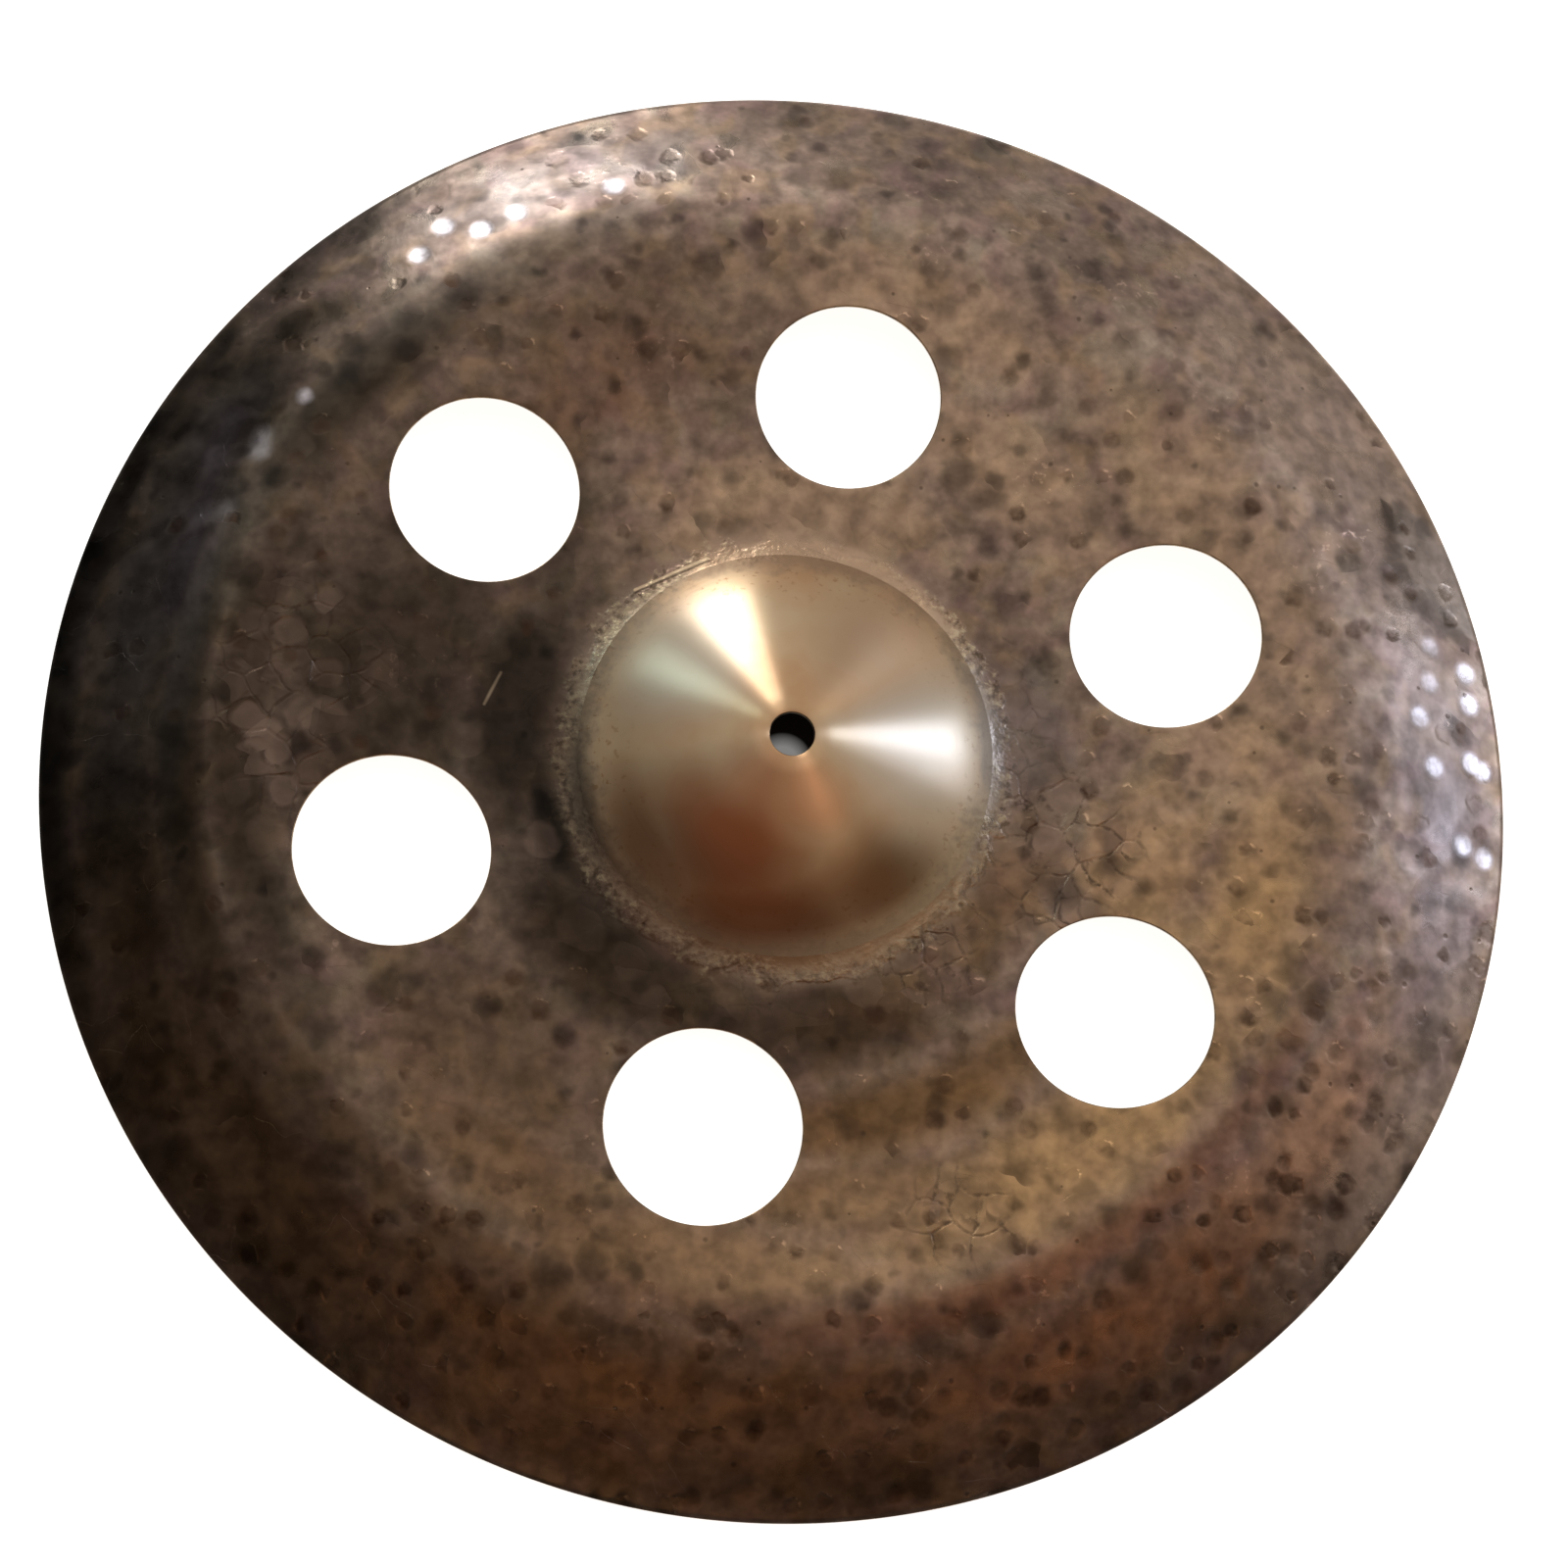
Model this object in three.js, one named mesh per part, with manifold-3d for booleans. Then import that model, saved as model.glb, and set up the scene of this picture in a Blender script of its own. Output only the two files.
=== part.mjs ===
// A hand-hammered china cymbal of cast bronze, with a domed cup, a dished bow pierced by
// six round cut-outs, and a rim that is turned down all round. It is one sheet of metal.
// Lengths are millimetres. +Z is the cup's axis, and the cymbal lies cup up on its rim's edge,
// so the plane it lies on is z = 0.

import * as THREE from "three";
import { mergeVertices } from "three/addons/utils/BufferGeometryUtils.js";
import Module from "manifold-3d";

const wasm = await Module();
wasm.setup();

// Radii of the sheet's upper face, from the axis out
const centreHoleRadius = 6;
const feltSeatRadius = 9.5;
const cupRadius = 59;
const foldRadius = 156;
const rimRadius = 203.2;

// Heights of the upper face above the rim's upper edge
const cupHeight = 28;
const cupFootHeight = 7.6;
const foldHeight = 21.4;

// How far each stretch bows away from a straight line at its middle: up is positive
const cupBulge = 1.8;
const bowSag = -1.1;
const flangeBulge = 0.5;

// Half the width over which one stretch is blended into the next
const feltSeatBlend = 1;
const cupFootBlend = 8;
const foldBlend = 13;

// The sheet is hammered thinner towards its rim
const cupThickness = 1.3;
const rimThickness = 0.95;
const edgeRound = 0.22;

// The cut-outs, bored by hand round one pitch circle
const cutOutRadius = 26.25;
const cutOutPitchRadius = 109.2;
const cutOutOverrun = 8;

// Where each cut-out was really bored: its turn in degrees past an even sixth of the circle,
// and its distance from the axis as a share of the pitch radius
const firstCutOutTurn = 17.9;
const cutOutPlaceShares = [
  { turn: 0, radiusShare: 1.018 },
  { turn: 2.2, radiusShare: 0.962 },
  { turn: 1.1, radiusShare: 1.017 },
  { turn: -2.1, radiusShare: 1.01 },
  { turn: -0.4, radiusShare: 0.964 },
  { turn: 2.8, radiusShare: 1.033 },
];

// Facets
const turnSteps = 96;
const cutOutSteps = 60;
const blendSteps = 4;
const cupSteps = 4;
const bowSteps = 3;
const flangeSteps = 3;

// A stretch of the upper face between two corners, bowed by its bulge at the middle
function stretch(from, to, bulge) {
  const middle = from.clone().lerp(to, 1 / 2);
  const control = middle.add(new THREE.Vector2(0, bulge * 2));
  return new THREE.QuadraticBezierCurve(from, control, to);
}

// The stretch's share that lies a given width along the radius from its start
function shareAlong(curve, width) {
  return width / Math.abs(curve.v2.x - curve.v0.x);
}

// Where two straight lines meet, each given by a point and a direction
function meetingPoint(pointA, alongA, pointB, alongB) {
  const gap = pointB.clone().sub(pointA);
  const reach = gap.cross(alongB) / alongA.cross(alongB);
  return pointA.clone().addScaledVector(alongA, reach);
}

// The blend that joins the end of one stretch to the start of the next without a crease
function blend(before, after, width) {
  const leaveShare = 1 - shareAlong(before, width);
  const joinShare = shareAlong(after, width);
  const leave = before.getPoint(leaveShare);
  const join = after.getPoint(joinShare);
  const leaveAlong = before.getTangent(leaveShare);
  const joinAlong = after.getTangent(joinShare);
  const control = meetingPoint(leave, leaveAlong, join, joinAlong);
  return new THREE.QuadraticBezierCurve(leave, control, join);
}

// Points along a curve between two of its shares, without the last one
function pointsBetween(curve, startShare, endShare, steps) {
  const span = endShare - startShare;
  return Array.from({ length: steps }, (_, i) => curve.getPoint(startShare + (span * i) / steps));
}

// The upper face from the centre hole to the rim, as radius and height
function upperFace() {
  const hole = new THREE.Vector2(centreHoleRadius, cupHeight);
  const seatEdge = new THREE.Vector2(feltSeatRadius, cupHeight);
  const foot = new THREE.Vector2(cupRadius, cupFootHeight);
  const fold = new THREE.Vector2(foldRadius, foldHeight);
  const rim = new THREE.Vector2(rimRadius, 0);

  const seat = stretch(hole, seatEdge, 0);
  const cup = stretch(seatEdge, foot, cupBulge);
  const bow = stretch(foot, fold, bowSag);
  const flange = stretch(fold, rim, flangeBulge);
  const seatBlend = blend(seat, cup, feltSeatBlend);
  const footBlend = blend(cup, bow, cupFootBlend);
  const topBlend = blend(bow, flange, foldBlend);

  const cupStart = shareAlong(cup, feltSeatBlend);
  const cupEnd = 1 - shareAlong(cup, cupFootBlend);
  const bowStart = shareAlong(bow, cupFootBlend);
  const bowEnd = 1 - shareAlong(bow, foldBlend);
  const flangeStart = shareAlong(flange, foldBlend);

  return [
    hole,
    ...pointsBetween(seatBlend, 0, 1, 2),
    ...pointsBetween(cup, cupStart, cupEnd, cupSteps),
    ...pointsBetween(footBlend, 0, 1, blendSteps),
    ...pointsBetween(bow, bowStart, bowEnd, bowSteps),
    ...pointsBetween(topBlend, 0, 1, blendSteps),
    ...pointsBetween(flange, flangeStart, 1, flangeSteps),
    rim,
  ];
}

// The sheet's thickness at a radius: full at the cup's foot and inwards, least at the rim
function thicknessAt(radius) {
  const outwardShare = THREE.MathUtils.clamp((radius - cupRadius) / (rimRadius - cupRadius), 0, 1);
  return THREE.MathUtils.lerp(cupThickness, rimThickness, outwardShare);
}

// The direction square to the face at a point, towards the sheet's underside
function inwardAt(face, i) {
  const before = face[Math.max(i - 1, 0)];
  const after = face[Math.min(i + 1, face.length - 1)];
  const along = after.clone().sub(before).normalize();
  return new THREE.Vector2(along.y, -along.x);
}

// The lower face, one thickness below the upper one. It stays level under the felt seat.
function lowerFace(upper) {
  return upper.map((point, i) => {
    const level = point.x < feltSeatRadius;
    const inward = level ? new THREE.Vector2(0, -1) : inwardAt(upper, i);
    return point.clone().addScaledVector(inward, thicknessAt(point.x));
  });
}

// Breaks the sharp corner at the end of a face: the corner becomes two points
function brokenCorner(corner, alongFace, alongEdge) {
  const onFace = corner.clone().addScaledVector(alongFace, edgeRound);
  const onEdge = corner.clone().addScaledVector(alongEdge, edgeRound);
  return [onFace, onEdge];
}

// The closed section of the sheet, which starts and ends at the centre hole's lower corner.
// It runs out along the lower face and back along the upper one.
function sheetSection() {
  const upper = upperFace();
  const lower = lowerFace(upper);
  const last = upper.length - 1;
  const back = upper[last - 1].clone().sub(upper[last]).normalize();
  const down = lower[last].clone().sub(upper[last]).normalize();
  const upperCorner = brokenCorner(upper[last], back, down);
  const lowerCorner = brokenCorner(lower[last], back, down.clone().negate());
  const loop = [
    ...lower.slice(0, last),
    ...lowerCorner,
    ...upperCorner.reverse(),
    ...upper.slice(0, last).reverse(),
  ];
  return [...loop, loop[0].clone()];
}

// Only the shared positions of a geometry, as a solid for joining and cutting
function solidFrom(geometry) {
  const bare = geometry.clone();
  bare.deleteAttribute("normal");
  bare.deleteAttribute("uv");
  const merged = mergeVertices(bare);
  return new wasm.Manifold(
    new wasm.Mesh({
      numProp: 3,
      vertProperties: new Float32Array(merged.attributes.position.array),
      triVerts: new Uint32Array(merged.index.array),
    }),
  );
}

// A solid back as a geometry with flat-shaded facets
function geometryFrom(solid) {
  const mesh = solid.getMesh();
  const geometry = new THREE.BufferGeometry();
  geometry.setAttribute("position", new THREE.BufferAttribute(mesh.vertProperties, 3));
  geometry.setIndex(new THREE.BufferAttribute(mesh.triVerts, 1));
  geometry.computeVertexNormals();
  return geometry;
}

// The whole hammered disc before it is bored, turned from its section and set on its rim
function turnedSheet() {
  const section = sheetSection();
  const lowest = Math.min(...section.map((point) => point.y));
  const disc = new THREE.LatheGeometry(section, turnSteps);
  disc.rotateX(Math.PI / 2);
  disc.translate(0, 0, -lowest);
  return disc;
}

// The round cutter for one cut-out, parallel to the axis and past both faces of the bow
function cutOutBorer(place, i) {
  const length = foldHeight + cutOutOverrun * 2;
  const borer = new THREE.CylinderGeometry(cutOutRadius, cutOutRadius, length, cutOutSteps);
  const evenTurn = (360 / cutOutPlaceShares.length) * i;
  const turn = THREE.MathUtils.degToRad(firstCutOutTurn + evenTurn + place.turn);
  borer.rotateX(Math.PI / 2);
  borer.translate(cutOutPitchRadius * place.radiusShare, 0, foldHeight / 2);
  borer.rotateZ(turn);
  return borer;
}

// The cymbal: the turned sheet with its six cut-outs bored through the bow
function cymbal() {
  const borers = cutOutPlaceShares.map((place, i) => solidFrom(cutOutBorer(place, i)));
  const pierced = borers.reduce(
    (sheet, borer) => sheet.subtract(borer),
    solidFrom(turnedSheet()),
  );
  const rawBronze = new THREE.MeshStandardMaterial({
    color: 0x6b5848,
    metalness: 0.95,
    roughness: 0.45,
  });
  const mesh = new THREE.Mesh(geometryFrom(pierced), rawBronze);
  mesh.name = "cymbal";
  return mesh;
}

const chinaCymbal = new THREE.Group();
chinaCymbal.add(cymbal());

export default chinaCymbal;
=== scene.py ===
"""Looks of a hand-hammered china cymbal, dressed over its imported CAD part.

One closed sheet of cast bronze stands for the CAD node. Its hammer marks are real dents, and
its finishes are node materials. Sizes held by the classes are millimetres and angles are
degrees, unless a name says otherwise; Blender is given metres. The cymbal lies cup up on its
rim. The photograph's right is +X and its top is +Y.
"""

import logging
import math
from collections.abc import Callable
from dataclasses import dataclass
from enum import Enum
from functools import partial
from typing import Any

import bpy
import numpy as np
from mathutils import Matrix, Vector
from mathutils.geometry import delaunay_2d_cdt


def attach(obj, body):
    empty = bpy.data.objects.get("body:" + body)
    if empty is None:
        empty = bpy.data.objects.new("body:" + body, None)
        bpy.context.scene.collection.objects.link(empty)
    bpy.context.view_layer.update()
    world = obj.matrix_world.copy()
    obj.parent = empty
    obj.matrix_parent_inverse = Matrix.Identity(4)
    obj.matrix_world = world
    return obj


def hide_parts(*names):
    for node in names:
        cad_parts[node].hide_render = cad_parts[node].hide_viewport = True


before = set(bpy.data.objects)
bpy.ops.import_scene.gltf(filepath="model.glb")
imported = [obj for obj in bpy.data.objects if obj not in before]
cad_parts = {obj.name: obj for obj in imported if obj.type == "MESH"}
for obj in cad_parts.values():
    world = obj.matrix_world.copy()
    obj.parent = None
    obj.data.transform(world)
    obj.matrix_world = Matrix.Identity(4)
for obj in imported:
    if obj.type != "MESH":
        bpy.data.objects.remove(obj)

MM = 0.001
PHOTO_SIDE = 1600
SMOOTH = {"interpolation_type": "SMOOTHSTEP"}
Pair = tuple[float, float]
Socket = bpy.types.NodeSocket
log = logging.getLogger("china_cymbal")


class Surface(Enum):
    """The differently finished faces of the sheet, in the order of their material slots."""

    PATINA = 0
    CUP = 1
    CUT_EDGE = 2
    UNDERSIDE = 3


def linear(hex_code: str) -> tuple[float, float, float, float]:
    """Turns an sRGB hex colour such as "#8a6f55" into the linear colour that a shader takes.

    Args:
        hex_code: the sRGB colour.

    Returns:
        Red, green, blue and a full alpha.
    """
    shares = [int(hex_code[i:i + 2], 16) / 255 for i in (1, 3, 5)]
    lit = [s / 12.92 if s <= 0.04045 else ((s + 0.055) / 1.055) ** 2.4 for s in shares]
    return (lit[0], lit[1], lit[2], 1.0)


def smooth_share(value: np.ndarray, start: float, end: float) -> np.ndarray:
    """Rises smoothly from 0 at start to 1 at end; start may be the larger one."""
    share = np.clip((value - start) / (end - start), 0, 1)
    return share * share * (3 - 2 * share)


def reach_of(plan: np.ndarray, centre: np.ndarray | Pair = (0, 0)) -> np.ndarray:
    """How far each place in plan is from a centre."""
    return np.hypot(*(plan - centre).T)


def circle(centre: np.ndarray | Pair, radius: float, count: int) -> np.ndarray:
    """Evenly spaced places on a circle in plan."""
    turns = np.arange(count) * 2 * math.pi / count
    return centre + radius * np.stack([np.cos(turns), np.sin(turns)], -1)


def add_object(title: str, data: bpy.types.ID) -> bpy.types.Object:
    """Adds an object with its data to the scene."""
    made = bpy.data.objects.new(title, data)
    bpy.context.scene.collection.objects.link(made)
    return made


def add_node(
    tree: bpy.types.NodeTree,
    kind: str,
    inputs: dict[int | str, Any] | tuple = (),
    out: int | str | None = 0,
    stops: tuple[tuple[float, str], ...] = (),
    **settings: Any,
) -> Socket | bpy.types.Node:
    """Adds one shader node to a tree with its settings, links and values.

    Args:
        tree: the material's or the world's node tree.
        kind: the node's Blender type, without the word ShaderNode.
        inputs: a value or an output socket for each named or numbered input, or for the first.
        out: the output to return, or None for the node itself.
        stops: places and sRGB hex colours of a colour ramp.
        settings: the node's own properties.

    Returns:
        The output, or the node.
    """
    node = tree.nodes.new("ShaderNode" + kind)
    for name, value in settings.items():
        setattr(node, name, value)
    for i, (place, hex_code) in enumerate(stops):
        elements = node.color_ramp.elements
        element = elements.new(place) if i else elements[0]
        element.position, element.color = place, linear(hex_code)
    if stops:
        node.color_ramp.elements.remove(node.color_ramp.elements[-1])
    for key, value in inputs.items() if isinstance(inputs, dict) else enumerate(inputs):
        if isinstance(value, Socket):
            tree.links.new(value, node.inputs[key])
        else:
            node.inputs[key].default_value = value
    return node if out is None else node.outputs[out]


def bare_material(title: str) -> bpy.types.Material:
    """Makes a node material without nodes.

    Args:
        title: the finish's name.

    Returns:
        The material.
    """
    material = bpy.data.materials.new(title)
    material.use_nodes = True
    material.node_tree.nodes.clear()
    return material


def shade(material: bpy.types.Material, inputs: dict[str, Any]) -> bpy.types.Material:
    """Gives a material its shader and its output.

    Args:
        material: the material with its nodes.
        inputs: the shader's inputs.

    Returns:
        The material.
    """
    shader = add_node(material.node_tree, "BsdfPrincipled", inputs)
    add_node(material.node_tree, "OutputMaterial", {"Surface": shader}, None)
    return material


@dataclass(frozen=True)
class Stretch:
    """A gently bowed stretch of the section between two corners."""

    start: Pair
    end: Pair
    bulge: float

    def at(self, share: np.ndarray) -> np.ndarray:
        """Points at the given shares of the stretch, as radius and height."""
        share = np.asarray(share, float)
        radius = self.start[0] + (self.end[0] - self.start[0]) * share
        line = self.start[1] + (self.end[1] - self.start[1]) * share
        return np.stack([radius, line + 4 * self.bulge * share * (1 - share)], -1)

    def along(self, share: float) -> np.ndarray:
        """The direction of the stretch at one share of it."""
        rise = self.end[1] - self.start[1] + 4 * self.bulge * (1 - 2 * share)
        return np.array([self.end[0] - self.start[0], rise])

    def share_of(self, width: float) -> float:
        """The share of the stretch that a width along the radius takes."""
        return width / abs(self.end[0] - self.start[0])

    def blend_into(self, after: "Stretch", width: float, steps: int) -> np.ndarray:
        """The curve that joins this stretch to the next without a crease.

        Args:
            after: the stretch that follows.
            width: half the width of the blend along the radius.
            steps: how many points the curve has.

        Returns:
            Points of the curve as radius and height.
        """
        leave_share, join_share = 1 - self.share_of(width), after.share_of(width)
        leave, join = self.at(leave_share), after.at(join_share)
        out, back = self.along(leave_share), after.along(join_share)
        gap = join - leave
        reach = (gap[0] * back[1] - gap[1] * back[0]) / (out[0] * back[1] - out[1] * back[0])
        control = leave + out * reach
        t = np.linspace(0, 1, steps)[:, None]
        return leave * (1 - t) ** 2 + control * 2 * t * (1 - t) + join * t**2


@dataclass(frozen=True)
class SheetSection:
    """The turned section of the sheet: cup, dished bow, fold and turned-down flange."""

    hole_radius: float = 6.0
    seat_radius: float = 9.5
    cup_radius: float = 59.0
    fold_radius: float = 156.0
    rim_radius: float = 203.18
    cup_height: float = 27.99
    foot_height: float = 7.6
    fold_height: float = 21.4
    cup_bulge: float = 1.8
    bow_sag: float = -1.1
    flange_bulge: float = 0.5
    seat_blend: float = 1.0
    foot_blend: float = 8.0
    fold_blend: float = 13.0
    cup_thickness: float = 1.3
    rim_thickness: float = 0.95
    edge_round: float = 0.22
    corner_share: float = 0.3
    steps: int = 40

    def upper_curve(self) -> np.ndarray:
        """The upper face from the centre hole to the rim, before it is lifted.

        Returns:
            Points of the face as radius and height.
        """
        corners = (
            (self.hole_radius, self.cup_height),
            (self.seat_radius, self.cup_height),
            (self.cup_radius, self.foot_height),
            (self.fold_radius, self.fold_height),
            (self.rim_radius, 0),
        )
        bulges = (0, self.cup_bulge, self.bow_sag, self.flange_bulge)
        stretches = [Stretch(*given) for given in zip(corners, corners[1:], bulges)]
        blends = (self.seat_blend, self.foot_blend, self.fold_blend, 0)
        parts = [np.array(corners[:1])]
        for before, after, width, last in zip(stretches, stretches[1:], blends, blends[1:]):
            ends = after.share_of(width), 1 - after.share_of(last)
            parts.append(before.blend_into(after, width, self.steps))
            parts.append(after.at(np.linspace(*ends, self.steps)))
        points = np.concatenate(parts)
        apart = np.hypot(*np.diff(points, axis=0).T) > 1e-6
        return points[np.concatenate([[True], apart])]

    def curves(self) -> tuple[np.ndarray, np.ndarray, np.ndarray]:
        """Both faces and the broken rim, set down so that the lowest point is at height 0.

        Returns:
            The upper face, the lower face, and the rings of the rim from upper to lower.
        """
        upper = self.upper_curve()
        along = np.gradient(upper, axis=0)
        along /= np.hypot(*along.T)[:, None]
        inward = np.stack([along[:, 1], -along[:, 0]], -1)
        inward[upper[:, 0] < self.seat_radius - self.seat_blend] = (0, -1)
        span = self.rim_radius - self.cup_radius
        outward = np.clip((upper[:, 0] - self.cup_radius) / span, 0, 1)
        thickness = self.cup_thickness + (self.rim_thickness - self.cup_thickness) * outward
        lower = upper + inward * thickness[:, None]
        back, down, e = -along[-1], inward[-1], self.edge_round
        top, bottom = upper[-1], lower[-1]
        rim = np.array([
            top + back * e,
            top + (back + down) * e * self.corner_share,
            top + down * e,
            bottom - down * e,
            bottom + (back - down) * e * self.corner_share,
            bottom + back * e,
        ])
        lift = np.array([0, -rim[:, 1].min()])
        return upper + lift, lower + lift, rim + lift


@dataclass(frozen=True)
class CutOuts:
    """The six round cut-outs, bored by hand through the bow.

    A place is a turn past an even sixth, and a share of the pitch radius.
    """

    radius: float = 26.25
    pitch_radius: float = 109.2
    first_turn: float = 17.9
    places: tuple[Pair, ...] = (
        (0.0, 1.018), (2.2, 0.962), (1.1, 1.017), (-2.1, 1.010), (-0.4, 0.964), (2.8, 1.033),
    )

    def centres(self) -> list[np.ndarray]:
        """The centre of each cut-out in plan."""
        found = []
        for i, (turn, radius_share) in enumerate(self.places):
            azimuth = math.radians(self.first_turn + 360 / len(self.places) * i + turn)
            reach = self.pitch_radius * radius_share
            found.append(np.array([reach * math.cos(azimuth), reach * math.sin(azimuth)]))
        return found

    def clear(self, plan: np.ndarray, gap: float) -> np.ndarray:
        """Which places in plan lie further than a gap outside every cut-out."""
        return np.all([reach_of(plan, c) > self.radius + gap for c in self.centres()], 0)


@dataclass(frozen=True)
class PhotoCamera:
    """The camera that took the photograph, as it was worked out from the outlines."""

    subject: SheetSection = SheetSection()
    azimuth: float = 256.82
    tilt: float = 16.21
    distance: float = 762.4
    aim: tuple[float, float, float] = (-17.17, 10.99, 0.76)
    lens: float = 63.0
    sensor: float = 36.0
    shift: Pair = (0.04, -0.04)
    # Metres, to the nearest and the furthest thing in sight
    clip: Pair = (0.01, 50)
    # Each round brings the place at a pixel nearer to the curved face
    rounds: int = 12

    def axes(self) -> tuple[Vector, Vector, Vector]:
        """The camera's right, up and back directions."""
        a, t = math.radians(self.azimuth), math.radians(self.tilt)
        back = Vector((math.sin(t) * math.cos(a), math.sin(t) * math.sin(a), math.cos(t)))
        right = Vector((0, 1, 0)).cross(back).normalized()
        return right, back.cross(right), back

    def position(self) -> Vector:
        """Where the camera stands, in millimetres."""
        return Vector(self.aim) + self.axes()[2] * self.distance

    def place_on(self, x: float, y: float) -> np.ndarray:
        """The place in plan on the subject's upper face that the photograph shows at a pixel.

        Args:
            x: pixels from the photograph's left edge.
            y: pixels from the photograph's top edge.

        Returns:
            The place in plan.
        """
        right, up, back = self.axes()
        focal = self.lens / self.sensor * PHOTO_SIDE
        across = (x - PHOTO_SIDE * (0.5 - self.shift[0])) / focal
        above = (PHOTO_SIDE * (0.5 + self.shift[1]) - y) / focal
        ray = right * across + up * above - back
        upper = self.subject.curves()[0]
        eye, height = self.position(), self.subject.fold_height
        for _ in range(self.rounds):
            place = eye + ray * ((height - eye.z) / ray.z)
            height = float(np.interp(math.hypot(place.x, place.y), upper[:, 0], upper[:, 1]))
        return np.array([place.x, place.y])

    def build(self) -> None:
        """Adds the camera to the scene."""
        data = bpy.data.cameras.new("photograph")
        data.lens, data.sensor_width = self.lens, self.sensor
        data.shift_x, data.shift_y = self.shift
        data.clip_start, data.clip_end = self.clip
        camera = add_object("photograph", data)
        turn = Matrix(self.axes()).transposed().to_4x4()
        camera.matrix_world = Matrix.Translation(self.position() * MM) @ turn
        bpy.context.scene.camera = camera


@dataclass(frozen=True)
class HammerWork:
    """The hammer marks: overlapping plates on the bow and small round dents further out.

    The marks that stand out in the photograph are given by pixel, and the dents with a painted
    glint also by how bright the glint is.
    """

    camera: PhotoCamera = PhotoCamera()
    seed: int = 41
    plate_width: Pair = (11.0, 16.0)
    plate_depth: Pair = (0.10, 0.22)
    seen_plate_depth: float = 0.3
    plate_spacing: float = 8.5
    plate_band: Pair = (66.0, 158.0)
    dent_width: Pair = (4.2, 6.4)
    dent_depth: Pair = (0.10, 0.26)
    dent_band: Pair = (70.0, 198.0)
    dent_tries: int = 300
    densest_azimuth: float = 300.0
    wave_height: float = 0.05
    wave_lengths: Pair = (34.0, 90.0)
    wave_count: int = 18
    under_share: float = 0.5
    rim_fade: float = 3.5
    # Dents that catch a lamp, each with how bright a painted highlight it gets: x and y in pixels,
    # and brightness
    painted_glint_dents: tuple[tuple[float, float, float], ...] = (
        (1459, 661, 0.3), (1495, 687, 0.9), (1499, 719, 0.9), (1459, 697, 0.4),
        (1449, 731, 0.5), (1464, 782, 0.5), (1501, 779, 1.0), (1512, 787, 0.9),
        (1493, 862, 0.7), (1514, 876, 0.7), (428, 260, 0.8), (453, 231, 0.9),
        (491, 234, 0.9), (527, 217, 0.5), (626, 190, 0.6),
    )
    # Dents painted dark inside, partly patina and partly painted shade, by pixel
    dark_dents: tuple[Pair, ...] = (
        (1400, 1009), (1403, 1035), (1382, 1050), (1338, 1094), (1382, 1106), (1440, 1095),
        (1404, 1126), (1425, 1165), (1368, 1172), (1338, 1229), (1363, 1235), (1300, 1206),
        (1315, 1279), (1288, 1291), (1226, 1289), (1258, 1313), (1182, 1276), (1126, 1326),
        (1240, 1369), (1109, 1387), (1206, 1415), (1063, 1426), (1020, 1420), (953, 1143),
        (1035, 1130), (976, 1082), (760, 1520), (705, 1530), (1270, 445), (1230, 795),
        (1110, 415), (1030, 385), (740, 538), (1148, 487), (980, 240),
    )
    seen_plates: tuple[Pair, ...] = (
        (300, 630), (275, 670), (265, 725), (350, 680), (295, 795),
        (1065, 830), (1120, 870), (1080, 925), (950, 985), (980, 1240),
    )

    def seen(self, marks: tuple[tuple[float, ...], ...]) -> list[np.ndarray]:
        """The places in plan of marks given by pixel."""
        return [self.camera.place_on(*mark[:2]) for mark in marks]

    def plates(self) -> np.ndarray:
        """The plates: those seen, and rings of others.

        Returns:
            One row a plate: x, y, radius and depth.
        """
        rng = np.random.default_rng(self.seed)
        size = self.plate_width[1] / 2, self.seen_plate_depth
        marks = [(*place, *size) for place in self.seen(self.seen_plates)]
        for ring in np.arange(*self.plate_band, self.plate_spacing):
            count = round(2 * math.pi * ring / self.plate_spacing)
            azimuths = (np.arange(count) + rng.uniform(-0.35, 0.35, count)) * 2 * math.pi / count
            reach = ring + rng.uniform(-0.4, 0.4, count) * self.plate_spacing
            radius = rng.uniform(*self.plate_width, count) / 2
            depth = rng.uniform(*self.plate_depth, count)
            marks += zip(reach * np.cos(azimuths), reach * np.sin(azimuths), radius, depth)
        return np.array(marks)

    def dents(self) -> np.ndarray:
        """The small dents: those seen with a painted glint and the dark ones seen, then others,
        densest on one side.

        Returns:
            One row a dent: x, y, radius and depth.
        """
        rng = np.random.default_rng(self.seed + 1)
        size = self.dent_width[1] / 2, self.dent_depth[1]
        marks = [(*place, *size) for place in self.seen(self.painted_glint_dents + self.dark_dents)]
        inner, outer = self.dent_band
        for _ in range(self.dent_tries):
            reach = math.sqrt(rng.uniform(inner**2, outer**2))
            azimuth = rng.uniform(0, 360)
            across = math.cos(math.radians(azimuth - self.densest_azimuth))
            out = (reach - inner) / (outer - inner)
            if rng.uniform() > 0.08 + 0.10 * out + 0.60 * max(across, 0) * out:
                continue
            x = reach * math.cos(math.radians(azimuth))
            y = reach * math.sin(math.radians(azimuth))
            radius = rng.uniform(*self.dent_width) / 2
            if all(math.hypot(x - m[0], y - m[1]) > 0.8 * (radius + m[2]) for m in marks):
                marks.append((x, y, radius, rng.uniform(*self.dent_depth)))
        return np.array(marks)

    def dented(self, plan: np.ndarray) -> np.ndarray:
        """How common the small dents are: most towards the rim at the lower right.

        Args:
            plan: places in plan, one a row.

        Returns:
            The share of the dents that is really there at each place.
        """
        reach = reach_of(plan)
        lower_right = np.clip(plan @ np.array([0.5, -0.866]) / np.maximum(reach, 1), 0, 1)
        outward = smooth_share(reach, 90, 165)
        common = 0.20 - 0.04 * outward + 0.34 * outward * lower_right
        return common * smooth_share(reach, 64, 76)

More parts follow.
